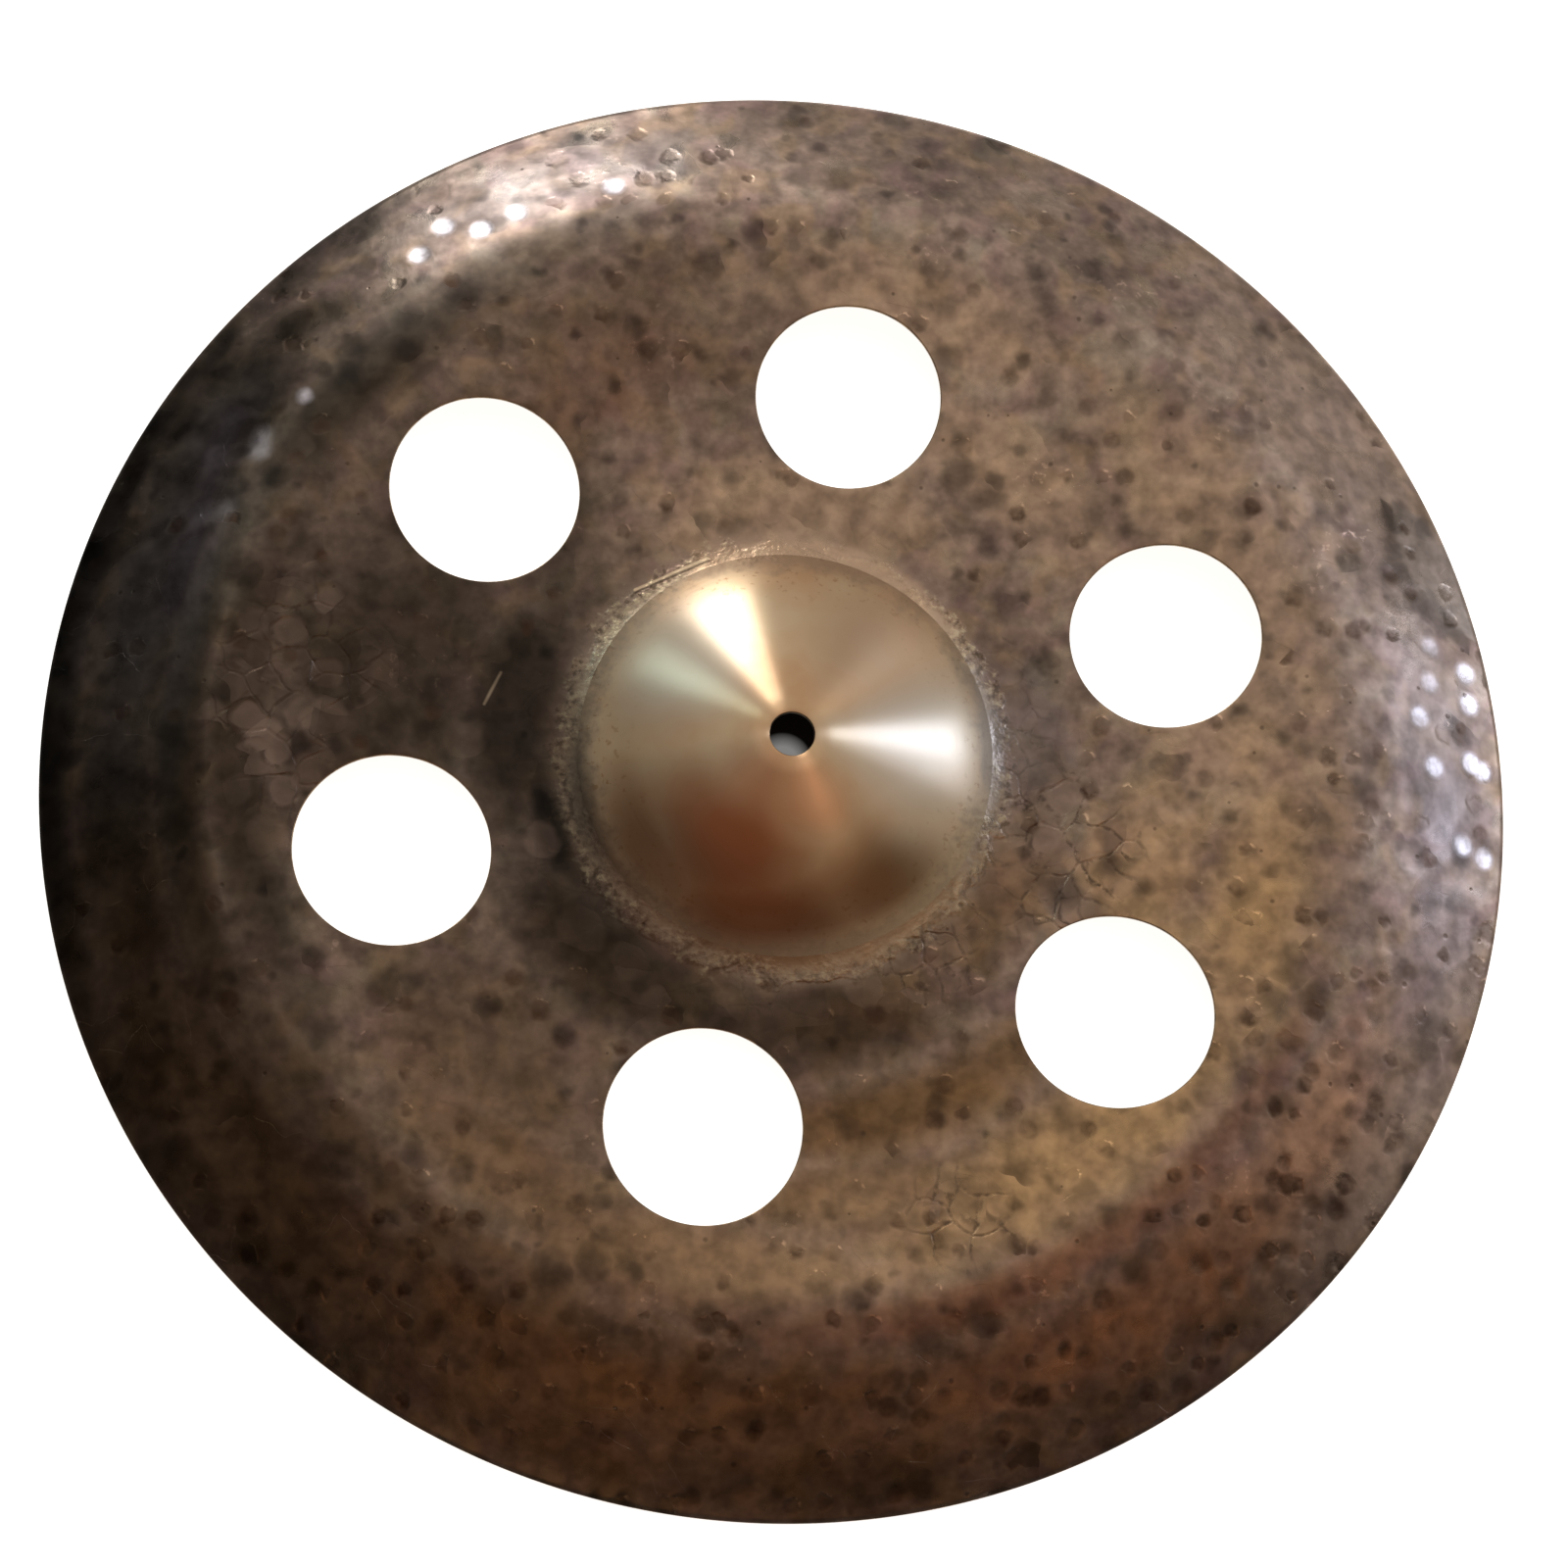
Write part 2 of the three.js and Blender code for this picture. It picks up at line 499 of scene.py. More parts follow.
    def scaly(self, plan: np.ndarray) -> np.ndarray:
        """How clearly the plates show: most by the cup's lower side and where they were seen.

        Args:
            plan: places in plan, one a row.

        Returns:
            The share at each place.
        """
        reach, foot = reach_of(plan), self.camera.subject.cup_radius
        below = smooth_share(plan[:, 1] / np.maximum(reach, 1), 0.7, -0.1)
        by_cup = (0.08 + 0.26 * below) * smooth_share(reach, 92, 66)
        share = 0.12 * smooth_share(reach, 165, 120) + by_cup
        for centre in self.seen(self.seen_plates):
            share = np.maximum(share, smooth_share(reach_of(plan, centre), 20, 6))
        return share * smooth_share(reach, foot - 2, foot + 5)

    def relief(self, plan: np.ndarray) -> tuple[np.ndarray, np.ndarray]:
        """How deep the hammer left each place of the upper face.

        Args:
            plan: places in plan, one a row.

        Returns:
            The depth below the turned face, and how far inside a small dent each place is: above
            zero for a dent painted darker, partly patina and partly shade, and below zero for a
            painted glint.
        """
        rng = np.random.default_rng(self.seed + 2)
        reach, section = reach_of(plan), self.camera.subject
        plate_depth, dent_depth, inside, waves = np.zeros((4, len(plan)))
        for x, y, radius, deep in self.plates():
            share = ((plan[:, 0] - x) ** 2 + (plan[:, 1] - y) ** 2) / radius**2
            plate_depth = np.maximum(plate_depth, deep * (1 - share))
        for i, (x, y, radius, deep) in enumerate(self.dents()):
            away = reach_of(plan, (x, y)) / radius
            dent_depth = np.maximum(dent_depth, deep * smooth_share(away, 1.3, 0.2))
            # A listed dent with a glint gets a painted highlight inside; the others are painted
            # darker, partly patina and partly shade
            bright = i < len(self.painted_glint_dents)
            lit = -self.painted_glint_dents[i][2] if bright else rng.uniform(0.4, 1.0)
            share = smooth_share(away, 1.15, 0.6) * lit
            inside = np.where(np.abs(share) > np.abs(inside), share, inside)
        for _ in range(self.wave_count):
            turn, phase = rng.uniform(0, 2 * math.pi, 2)
            length = rng.uniform(*self.wave_lengths)
            way = plan @ np.array([math.cos(turn), math.sin(turn)])
            waves += np.sin(way * 2 * math.pi / length + phase)
        waves = (waves / math.sqrt(self.wave_count) + 2) * self.wave_height
        hammered = smooth_share(reach, section.cup_radius + 1, section.cup_radius + 9)
        rim = smooth_share(reach, section.rim_radius - 0.5, section.rim_radius - self.rim_fade)
        plate_fade = smooth_share(reach, self.plate_band[1] + 16, self.plate_band[1] - 4)
        total = (plate_depth * plate_fade + dent_depth + waves) * hammered * rim
        return total, inside * hammered * rim


class PatchColour(Enum):
    """The colours of the painted patches, from dark to pale: tarnish that bell bronze takes as it
    ages, and painted shade and light.
    """

    SOOT = "#13110d"
    CHAR = "#1f1911"
    BISTRE = "#30271e"
    UMBER = "#3b2a1a"
    SEPIA = "#4e3b29"
    WALNUT = "#674b2d"
    RUST = "#6f4633"
    RED_BROWN = "#8e502f"
    IRON = "#4b433b"
    SLATE = "#615a58"
    MAUVE = "#857b7e"
    FAWN = "#80654b"
    DUST = "#9f8a7b"
    GOLD = "#aa885e"
    SAND = "#ae9277"
    COPPER = "#ae8467"
    LIGHT_COPPER = "#e2b48c"
    STRAW = "#c6b394"
    SILVER = "#c7bdad"


@dataclass(frozen=True)
class Tint:
    """A soft patch of painted tarnish, shade and light, round a place of the sheet."""

    azimuth: float
    radius: float
    half_turn: float
    half_width: float
    patch_colour: PatchColour
    strength: float


@dataclass(frozen=True)
class Tints:
    """The patches of another colour: some tarnish, and much painted shade and light, darker where
    a dark room would be reflected and lighter where highlights fall.
    """

    patches: tuple[Tint, ...] = (
        # Golden cup; the red-brown below the hole is a painted reflection of a dark room, and the
        # silver at the sides and the light copper by the hole are painted highlights
        Tint(238, 34, 46, 26, PatchColour.RED_BROWN, 0.88),
        Tint(260, 49, 50, 16, PatchColour.RUST, 0.88),
        Tint(222, 48, 36, 13, PatchColour.SEPIA, 0.80),
        Tint(306, 46, 36, 16, PatchColour.WALNUT, 0.80),
        Tint(4, 35, 48, 27, PatchColour.SILVER, 0.85),
        Tint(52, 34, 30, 26, PatchColour.SAND, 0.85),
        Tint(232, 15, 44, 11, PatchColour.COPPER, 0.60),
        Tint(284, 17, 34, 12, PatchColour.LIGHT_COPPER, 0.85),
        Tint(143, 36, 34, 25, PatchColour.SILVER, 0.85),
        # Ring round the cup, darker at the left as painted shade
        Tint(200, 58, 50, 6, PatchColour.IRON, 0.85),
        Tint(294, 58, 54, 7, PatchColour.STRAW, 0.82),
        Tint(80, 58, 50, 7, PatchColour.SAND, 0.85),
        Tint(4, 57, 30, 7, PatchColour.SLATE, 0.75),
        # Bow: nearly black at the left, a painted shade where a dark room is reflected, and golden
        # at the lower right, a painted warm reflection
        Tint(200, 68, 34, 9, PatchColour.SOOT, 0.97),
        Tint(2, 69, 26, 13, PatchColour.SLATE, 0.70),
        Tint(172, 76, 48, 24, PatchColour.SOOT, 0.97),
        Tint(170, 112, 46, 56, PatchColour.BISTRE, 0.90),
        Tint(140, 106, 24, 52, PatchColour.BISTRE, 0.82),
        Tint(230, 76, 50, 25, PatchColour.CHAR, 0.97),
        Tint(276, 77, 42, 21, PatchColour.UMBER, 0.95),
        Tint(322, 71, 34, 15, PatchColour.WALNUT, 0.70),
        Tint(338, 104, 24, 22, PatchColour.GOLD, 0.65),
        Tint(90, 74, 46, 19, PatchColour.SAND, 0.70),
        Tint(228, 116, 26, 42, PatchColour.SEPIA, 0.75),
        Tint(112, 124, 26, 40, PatchColour.SEPIA, 0.60),
        Tint(119, 116, 17, 20, PatchColour.RUST, 0.65),
        Tint(305, 132, 46, 22, PatchColour.GOLD, 0.80),
        Tint(276, 122, 22, 15, PatchColour.WALNUT, 0.80),
        Tint(342, 134, 22, 22, PatchColour.GOLD, 0.75),
        Tint(26, 136, 28, 26, PatchColour.SAND, 0.65),
        Tint(76, 134, 26, 20, PatchColour.SAND, 0.60),
        Tint(257, 142, 34, 19, PatchColour.FAWN, 0.88),
        Tint(236, 136, 22, 20, PatchColour.WALNUT, 0.85),
        Tint(286, 103, 40, 16, PatchColour.WALNUT, 0.92),
        Tint(10, 120, 26, 30, PatchColour.SAND, 0.60),
        Tint(52, 104, 30, 18, PatchColour.SAND, 0.60),
        Tint(182, 148, 52, 15, PatchColour.BISTRE, 0.95),
        # Fold, mostly painted shade: darker at the left, below and at the top, where it dims the
        # highlights
        Tint(290, 155, 60, 8, PatchColour.RUST, 0.75),
        Tint(6, 152, 34, 16, PatchColour.DUST, 0.55),
        Tint(140, 158, 32, 17, PatchColour.BISTRE, 0.97),
        Tint(118, 161, 24, 12, PatchColour.IRON, 0.75),
        Tint(222, 157, 50, 9, PatchColour.UMBER, 0.80),
        # Flange: black at the left, a painted shade where a dark room is reflected; red-brown
        # below; grey at the right, a painted reflection of a bluish window
        Tint(182, 163, 56, 12, PatchColour.CHAR, 0.97),
        Tint(2, 182, 26, 22, PatchColour.SLATE, 0.70),
        Tint(343, 186, 15, 18, PatchColour.MAUVE, 0.70),
        Tint(112, 182, 20, 20, PatchColour.SLATE, 0.60),
        Tint(310, 176, 36, 20, PatchColour.COPPER, 0.72),
        Tint(28, 184, 26, 24, PatchColour.DUST, 0.70),
        Tint(325, 194, 26, 12, PatchColour.DUST, 0.70),
        Tint(255, 172, 30, 22, PatchColour.FAWN, 0.70),
        Tint(262, 192, 40, 10, PatchColour.SEPIA, 0.60),
        Tint(149, 184, 18, 26, PatchColour.BISTRE, 0.97),
        Tint(166, 179, 22, 20, PatchColour.SLATE, 0.97),
        Tint(188, 182, 22, 18, PatchColour.BISTRE, 0.97),
        Tint(172, 200, 66, 11, PatchColour.SOOT, 0.97),
        Tint(216, 182, 28, 26, PatchColour.FAWN, 0.85),
    )

    def wash(self, plan: np.ndarray) -> tuple[np.ndarray, np.ndarray]:
        """Blends the patches at places in plan.

        Args:
            plan: places in plan, one a row.

        Returns:
            The linear colour of each place, and how strong the tint is there.
        """
        reach = reach_of(plan)
        azimuths = np.degrees(np.arctan2(plan[:, 1], plan[:, 0]))
        colour = np.zeros((len(plan), 3))
        total = np.full(len(plan), 1e-6)
        strength = np.zeros(len(plan))
        for patch in self.patches:
            turn = (azimuths - patch.azimuth + 180) % 360 - 180
            away = np.hypot(turn / patch.half_turn, (reach - patch.radius) / patch.half_width)
            weight = smooth_share(away, 1.3, 0.2) * patch.strength
            colour += weight[:, None] * np.array(linear(patch.patch_colour.value)[:3])
            total += weight
            strength = np.maximum(strength, weight)
        return colour / total[:, None], strength


@dataclass
class Skin:
    """The colour and height of a surface while its marks are laid over one another.

    Places, reaches and heights are millimetres.
    """

    material: bpy.types.Material
    place: Socket
    plan: Socket
    reach: Socket
    colour: Socket | None = None
    height: Socket | float = 0.0

    @property
    def add(self) -> Callable[..., Any]:
        """The call that adds a node to the material."""
        return partial(add_node, self.material.node_tree)

    def where(self, *shares: Socket | float) -> Socket | float:
        """The share of a place at which all of the given shares hold."""
        found = shares[0]
        for share in shares[1:]:
            found = self.add("Math", (found, share), operation="MULTIPLY")
        return found

    def lay(self, colour: str | Socket, *shares: Socket | float) -> None:
        """Lays a colour over the skin where all of the shares hold."""
        over = linear(colour) if isinstance(colour, str) else colour
        inputs = {0: self.where(*shares), 6: self.colour, 7: over}
        self.colour = self.add("Mix", inputs, 2, data_type="RGBA")

    def tone(self, factor: Socket | float, *shares: Socket | float) -> None:
        """Darkens or lightens the skin by a factor where all of the shares hold."""
        toned = self.add("VectorMath", {0: self.colour, "Scale": factor}, operation="SCALE")
        self.lay(toned, *shares)

    def lift(self, amount: float, *shares: Socket | float) -> None:
        """Raises the skin by an amount where all of the shares hold."""
        inputs = (self.where(*shares), amount, self.height)
        self.height = self.add("Math", inputs, operation="MULTIPLY_ADD")

    def wander(self, size: float, reach: float) -> Socket:
        """The place in plan, moved about by noise of a size to make marks less round."""
        noise = {"Vector": self.place, "Scale": 1 / size, "Detail": 1.0}
        drift = self.add("TexNoise", noise, "Color")
        drift = self.add("VectorMath", {0: drift, "Scale": reach}, operation="SCALE")
        return self.add("VectorMath", (self.plan, drift), operation="ADD")


@dataclass(frozen=True)
class RoundShares:
    """Where a layer of round marks lies, as shares for the shader."""

    inside: Socket
    shadow: Socket
    glint: Socket
    side: Socket
    tone: Socket


@dataclass(frozen=True)
class RoundMarks:
    """One size of round hammer mark, scattered over the sheet."""

    spacing: float
    radii: Pair
    softness: float
    shift: float
    shadow_width: float

    def on(self, skin: Skin, plan: Socket, commonness: Socket | float) -> RoundShares:
        """Scatters the marks over a skin.

        Args:
            skin: the skin that takes the marks.
            plan: the place in plan, which may wander to make the marks less round.
            commonness: the share of the scattered marks that is really there.

        Returns:
            Where the marks are, where a shadow lies along one edge of each, where light catches
            the opposite edge, how far towards the shadow, and each mark's chance tone.
        """
        add, width = skin.add, self.shadow_width
        moved = add("VectorMath", (plan, (self.shift, self.shift, 0.0)), operation="ADD")
        cells = add("TexVoronoi", {"Vector": moved, "Scale": 1 / self.spacing}, None,
                    voronoi_dimensions="2D").outputs
        luck = add("SeparateColor", (cells["Color"],), None).outputs
        out = add("VectorMath", (moved, cells["Position"]), operation="SUBTRACT")
        away = add("VectorMath", (out,), "Value", operation="LENGTH")
        radius = add("MapRange", (luck[0], 0.0, 1.0, *self.radii))
        ratio = add("Math", (away, radius), operation="DIVIDE")
        there = add("Math", (luck[1], commonness), operation="LESS_THAN")
        turned = add("VectorMath", (cells["Color"], (1.0, 1.1, 0.5)), operation="SUBTRACT")
        ways = [add("VectorMath", (way,), operation="NORMALIZE") for way in (out, turned)]
        side = add("VectorMath", tuple(ways), "Value", operation="DOT_PRODUCT")
        off = add("Math", (away, radius), operation="SUBTRACT")
        inside, past, near, arc, far_arc = (add("MapRange", spread, **SMOOTH) for spread in (
            (ratio, 1 + self.softness, 1 - self.softness),
            (off, -0.25 * width, 0.1 * width),
            (off, width, 0.1 * width),
            (side, 0.2, 1.0),
            (side, -0.5, -0.9),
        ))
        return RoundShares(skin.where(inside, there), skin.where(past, near, arc, there),
                           skin.where(past, near, far_arc, there), side, luck[2])


@dataclass(frozen=True)
class Streak:
    """A single long mark, from one pixel of the photograph to another.

    Its width is half of the mark's, and its blur is the share of that width over which it
    fades. A tapered one is pointed at both ends, like a leaf.
    """

    start: Pair
    end: Pair
    width: float
    blur: float
    colour: str
    strength: float
    tapered: bool = False
    raggedness: float = 2.4
    edge: float = 2.2

    def lay_on(self, skin: Skin, camera: PhotoCamera, ragged: Socket) -> None:
        """Lays the mark over a skin.

        Args:
            skin: the skin that takes the mark.
            camera: the photograph's camera, which places the mark.
            ragged: the noise that breaks the mark's edge.
        """
        add = skin.add
        start, end = (camera.place_on(*pixel) for pixel in (self.start, self.end))
        along = (*(end - start), 0.0)
        gap = add("VectorMath", (skin.plan, (*start, 0.0)), operation="SUBTRACT")
        dot = add("VectorMath", (gap, along), "Value", operation="DOT_PRODUCT")
        t = add("Math", (dot, sum(a * a for a in along)), operation="DIVIDE", use_clamp=True)
        foot = add("VectorMath", {0: along, "Scale": t}, operation="SCALE")
        off = add("VectorMath", (gap, foot), operation="SUBTRACT")
        away = add("VectorMath", (off,), "Value", operation="LENGTH")
        away = add("Math", (away, self.width), operation="DIVIDE")
        if self.tapered:
            rest = add("Math", (1.0, t), operation="SUBTRACT")
            leaf = add("Math", (skin.where(t, rest), 4.0, 0.02), operation="MULTIPLY_ADD")
            away = add("Math", (away, leaf), operation="DIVIDE")
        away = add("Math", (ragged, self.raggedness, away), operation="MULTIPLY_ADD")
        limits = self.edge + 0.5 * self.blur, self.edge - self.blur
        skin.lay(self.colour, add("MapRange", (away, *limits), **SMOOTH), self.strength)


@dataclass(frozen=True)
class FootRing:
    """The rough ring round the cup, where the lathe stopped and the hammer began.

    The eye sees a ragged, pitted band of light tan metal, widest at the left and the bottom.
    """

    colour: str = "#93816b"
    pit_colour: str = "#4a3c2d"
    crust_colour: str = "#b5a586"
    inner: float = 52.5
    narrow: float = 7.0
    wide: float = 10.0
    widest_turn: float = 245.0
    wander_size: float = 7.0
    wander_width: float = 17.0
    crust_size: float = 2.3
    crust_height: float = 0.15

    def lay_on(self, skin: Skin) -> None:
        """Lays the ring over a skin.

        Args:
            skin: the skin that takes it.
        """
        add, turn = skin.add, math.radians(self.widest_turn)
        wander, coarse = (add("TexNoise", {
            "Vector": skin.place, "Scale": 1 / size, "Detail": 3.0, "Roughness": 0.6,
        }) for size in (self.wander_size, self.crust_size))
        way = add("VectorMath", (skin.plan,), operation="NORMALIZE")
        widest = (math.cos(turn), math.sin(turn), 0.0)
        facing = add("VectorMath", (way, widest), "Value", operation="DOT_PRODUCT")
        width = add("MapRange", (facing, -1.0, 1.0, self.narrow, self.wide))
        start = -self.wander_width / 2 - self.inner
        shifted = add("Math", (wander, self.wander_width, start), operation="MULTIPLY_ADD")
        past = add("Math", (skin.reach, shifted), operation="ADD")
        ratio = add("Math", (past, width), operation="DIVIDE")
        over = add("MapRange", (ratio, 1.10, 0.85), **SMOOTH)
        begun, outer, rough_edge, speckle, pits, crust = (add("MapRange", spread) for spread in (
            (past, -1.0, 3.0),
            (ratio, 0.45, 0.95),
            (ratio, 1.35, 1.1),
            (coarse, 0.38, 0.60, 0.45, 0.85),
            (coarse, 0.48, 0.40, 0.0, 0.85),
            (coarse, 0.53, 0.61, 0.0, 0.75),
        ))
        skin.lay(self.colour, begun, over, speckle)
        skin.lay(self.pit_colour, outer, rough_edge, pits)
        skin.lay(self.crust_colour, outer, rough_edge, crust)
        skin.lift(self.crust_height, outer, rough_edge, coarse)


@dataclass(frozen=True)
class Finish:
    """A finish that makes one node material. Its roughness swings with one of its noises."""

    title: str = "finish"
    roughness: float = 0.4
    swing: float = 0.07
    metallic: float = 1.0

    def start(self) -> Skin:
        """Makes a bare material.

        Returns:
            The material's skin.
        """
        material = bare_material(self.title)
        add = partial(add_node, material.node_tree)
        metres = add("TexCoord", out="Object")
        place = add("VectorMath", {0: metres, "Scale": 1 / MM}, operation="SCALE")
        plan = add("VectorMath", (place, (1.0, 1.0, 0.0)), operation="MULTIPLY")
        return Skin(material, place, plan, add("VectorMath", (plan,), "Value", operation="LENGTH"))

    def dress(self, skin: Skin, noise: Socket, worn: Socket | None = None,
              more: dict[str, Any] | None = None) -> bpy.types.Material:
        """Gives the material a shader with the finished skin.

        Args:
            skin: the skin with all its marks.
            noise: the noise that the roughness swings with, from most to least.
            worn: how much rougher the surface is where it is worn.
            more: the shader's other inputs.

        Returns:
            The material.
        """
        limits = self.roughness + self.swing, self.roughness - self.swing
        rough = skin.add("MapRange", (noise, 0.3, 0.7, *limits))
        if worn:
            rough = skin.add("Math", (rough, worn), operation="ADD")
        bump = skin.add("Bump", {"Height": skin.height, "Distance": MM, "Strength": 1.0})
        return shade(skin.material, {
            "Base Color": skin.colour,
            "Roughness": rough,
            "Metallic": self.metallic,
            "Normal": bump,
            **(more or {}),
        })


@dataclass(frozen=True)
class RawPatina(Finish):
    """Cast bell bronze, hammered and left raw, tarnished to a mottled brown.

    The eye sees a satin brown skin, blotched with olive, violet and gold, with overlapping
    hammered plates, dark round dents and small light flecks.
    """

    title: str = "cast_bronze_hammered_raw_patina"
    roughness: float = 0.31
    metallic: float = 0.92
    dark: str = "#665449"
    brown: str = "#7b685b"
    tan: str = "#907b6c"
    pale: str = "#a79385"
    olive: str = "#6e6650"
    violet: str = "#7d625e"
    gold: str = "#93795a"
    plate_light: str = "#846f62"
    plate_dark: str = "#5c4a3e"
    dent_patina_and_shade_colour: str = "#3c281b"
    # The painted highlight inside the dents that catch a lamp
    painted_glint_colour: str = "#f4eef2"
    crevice_and_shadow_colour: str = "#33271e"
    cloud_size: float = 36.0
    blotch_size: float = 12.0
    fleck_size: float = 2.2
    fleck_height: float = 0.035
    grain_size: float = 0.9
    grain_height: float = 0.012
    # How far apart the noise that moves each kind of mark varies, and how far it moves them
    plate_drift: Pair = (7.0, 4.0)
    spot_drift: Pair = (5.0, 4.0)
    dent_drift: Pair = (3.0, 2.2)
    plate_depth: float = 0.16
    crevice_spacing: float = 10.0
    patch_size: float = 5.5
    dent_depth: float = 0.10
    pit_depth: float = 0.06
    worn_width: float = 12.0
    plates: tuple[RoundMarks, ...] = (
        RoundMarks(13.0, (5.2, 7.6), 0.18, 0.0, 2.8),
        RoundMarks(11.0, (4.2, 6.0), 0.18, 137.0, 2.2),
    )
    dents: RoundMarks = RoundMarks(9.0, (1.9, 3.2), 0.35, 271.0, 0.9)
    pits: RoundMarks = RoundMarks(7.0, (0.3, 0.7), 0.6, 413.0, 0.3)
    spots: tuple[RoundMarks, ...] = (
        RoundMarks(14.0, (2.8, 5.4), 0.50, 59.0, 1.0),
        RoundMarks(9.0, (1.5, 3.0), 0.45, 631.0, 1.0),
    )
    streaks: tuple[Streak, ...] = (
        Streak((648, 602), (722, 570), 0.5, 0.5, "#d0b898", 0.7),
        Streak((647, 605), (723, 572), 0.4, 0.5, "#33271e", 0.6),
        Streak((494, 718), (511, 686), 0.5, 0.9, "#8a7a66", 0.6),
        Streak((1409, 509), (1499, 668), 10.5, 0.62, "#2c2620", 0.62, True),
        Streak((1421, 512), (1506, 655), 9.3, 0.58, "#8a7c70", 0.80, True),
        # Painted highlights: soft glints and a grey gleam on the dark flange at the left
        Streak((266, 444), (264, 458), 3.0, 1.7, "#e2d8dc", 0.85),
        Streak((310, 403), (311, 405), 2.0, 1.3, "#cfc4c8", 0.6),
        Streak((208, 526), (228, 518), 3.4, 1.7, "#b4acae", 0.55),
        Streak((180, 610), (238, 430), 6.5, 1.5, "#544a52", 0.7),
    )
    camera: PhotoCamera = PhotoCamera()

    def build(self) -> bpy.types.Material:
        """Makes the material.

        Returns:
            The material.
        """
        skin = self.start()
        add = skin.add
        cloud, blotch, fleck, grain = (add("TexNoise", {
            "Vector": skin.place, "Scale": 1 / size, "Detail": detail, "Roughness": rough,
            "Distortion": bend,
        }) for size, detail, rough, bend in (
            (self.cloud_size, 2.0, 0.5, 0.0),
            (self.blotch_size, 1.8, 0.45, 0.4),
            (self.fleck_size, 3.0, 0.55, 0.0),
            (self.grain_size, 2.0, 0.5, 0.0),
        ))
        tone = 0.0
        for part, weight in ((cloud, 0.38), (blotch, 0.47), (fleck, 0.15)):
            tone = add("Math", (part, weight, tone), operation="MULTIPLY_ADD")
        browns = (0.36, self.dark), (0.46, self.brown), (0.55, self.tan), (0.66, self.pale)
        skin.colour = add("ValToRGB", (tone,), stops=browns)
        hues = add("SeparateColor", (blotch.node.outputs["Color"],), None).outputs
        for hue, hex_code in zip(hues, (self.olive, self.violet, self.gold)):
            skin.lay(hex_code, add("MapRange", (hue, 0.50, 0.66, 0.0, 0.40), **SMOOTH))
        skin.lift(self.grain_height, grain)
        skin.lift(self.fleck_height, fleck)
        FootRing().lay_on(skin)
        self.lay_tarnish_and_shade(skin, blotch)
        for streak in self.streaks:
            streak.lay_on(skin, self.camera, tone)
        self.lay_spots(skin)
        self.lay_plates(skin, fleck)
        self.lay_dents(skin, fleck)
        self.lay_flecks(skin, fleck, cloud.node.outputs["Color"])
        fold = self.camera.subject.fold_radius + 4
        off = add("Math", (skin.reach, fold), operation="SUBTRACT")
        off = add("Math", (off,), operation="ABSOLUTE")
        worn = add("MapRange", (off, self.worn_width, 3.0, 0.0, 0.16), **SMOOTH)
        return self.dress(skin, blotch, worn)

    def lay_tarnish_and_shade(self, skin: Skin, blotch: Socket) -> None:
        """Washes the painted patches of tarnish, shade and light over the skin, ragged only at
        their edges.

        Args:
            skin: the skin that takes them.
            blotch: the noise that makes them ragged.
        """
        add = skin.add
        wash = add("Attribute", out="Color", attribute_name="tint")
        amount = add("Attribute", out="Fac", attribute_name="tint_strength")
        ragged = add("Math", (blotch, 1.6, -0.85), operation="MULTIPLY_ADD")
        loose = add("MapRange", (amount, 0.45, 0.95, 0.55, 0.12))
        edge = add("Math", (ragged, loose, amount), operation="MULTIPLY_ADD", use_clamp=True)
        skin.lay(wash, edge, add("MapRange", (amount, 0.0, 0.3)))

    def lay_spots(self, skin: Skin) -> None:
        """Mottles the skin with soft spots and patches, a little darker or lighter than it is.

        Args:
            skin: the skin that takes them.
        """
        plan = skin.wander(*self.spot_drift)
        begun = skin.add("MapRange", (skin.reach, 60.0, 68.0))
        patches = skin.add("TexNoise", {"Vector": skin.place, "Scale": 1 / self.patch_size})
        skin.tone(skin.add("MapRange", (patches, 0.32, 0.68, 0.72, 1.24)), begun)
        for layer in self.spots:
            marks = layer.on(skin, plan, 0.75)
            tone = skin.add("MapRange", (marks.tone, 0.0, 1.0, 0.42, 1.12))
            skin.tone(tone, marks.inside, begun)

    def lay_plates(self, skin: Skin, fleck: Socket) -> None:
        """Lays the overlapping plates of the big hammer, each with a painted shadow along one edge
        and darker crevices between them, clear where the skin is scaly.

        Args:
            skin: the skin that takes them.
            fleck: the fine noise that breaks their shadows.
        """
        plan = skin.wander(*self.plate_drift)
        scaly = skin.add("Attribute", out="Fac", attribute_name="scaly")
        gap = skin.add("TexVoronoi", {"Vector": plan, "Scale": 1 / self.crevice_spacing},
                       voronoi_dimensions="2D", feature="DISTANCE_TO_EDGE")
        shown, clear, creviced, crevice, broken = (skin.add("MapRange", spread) for spread in (
            (scaly, 0.0, 1.0, 0.20, 0.9),
            (scaly, 0.0, 1.0, 0.14, 0.75),
            (scaly, 0.10, 0.9, 0.0, 0.75),
            (gap, 0.07, 0.015, 0.0, 0.8),
            (fleck, 0.40, 0.56),
        ))
        skin.lay(self.crevice_and_shadow_colour, crevice, creviced, broken)
        skin.lift(-self.plate_depth, crevice, creviced)
        for layer in self.plates:
            marks = layer.on(skin, plan, shown)
            # A painted shadow along one edge of each plate
            skin.lay(self.crevice_and_shadow_colour, marks.shadow, clear, broken)
            for colour, end, most in ((self.plate_light, 1.0, 0.45), (self.plate_dark, 0.0, 0.7)):
                apart = skin.add("MapRange", (marks.tone, 0.4, end, 0.0, most))
                skin.lay(colour, marks.inside, apart, clear)
            skin.lift(-self.plate_depth, marks.inside, shown)

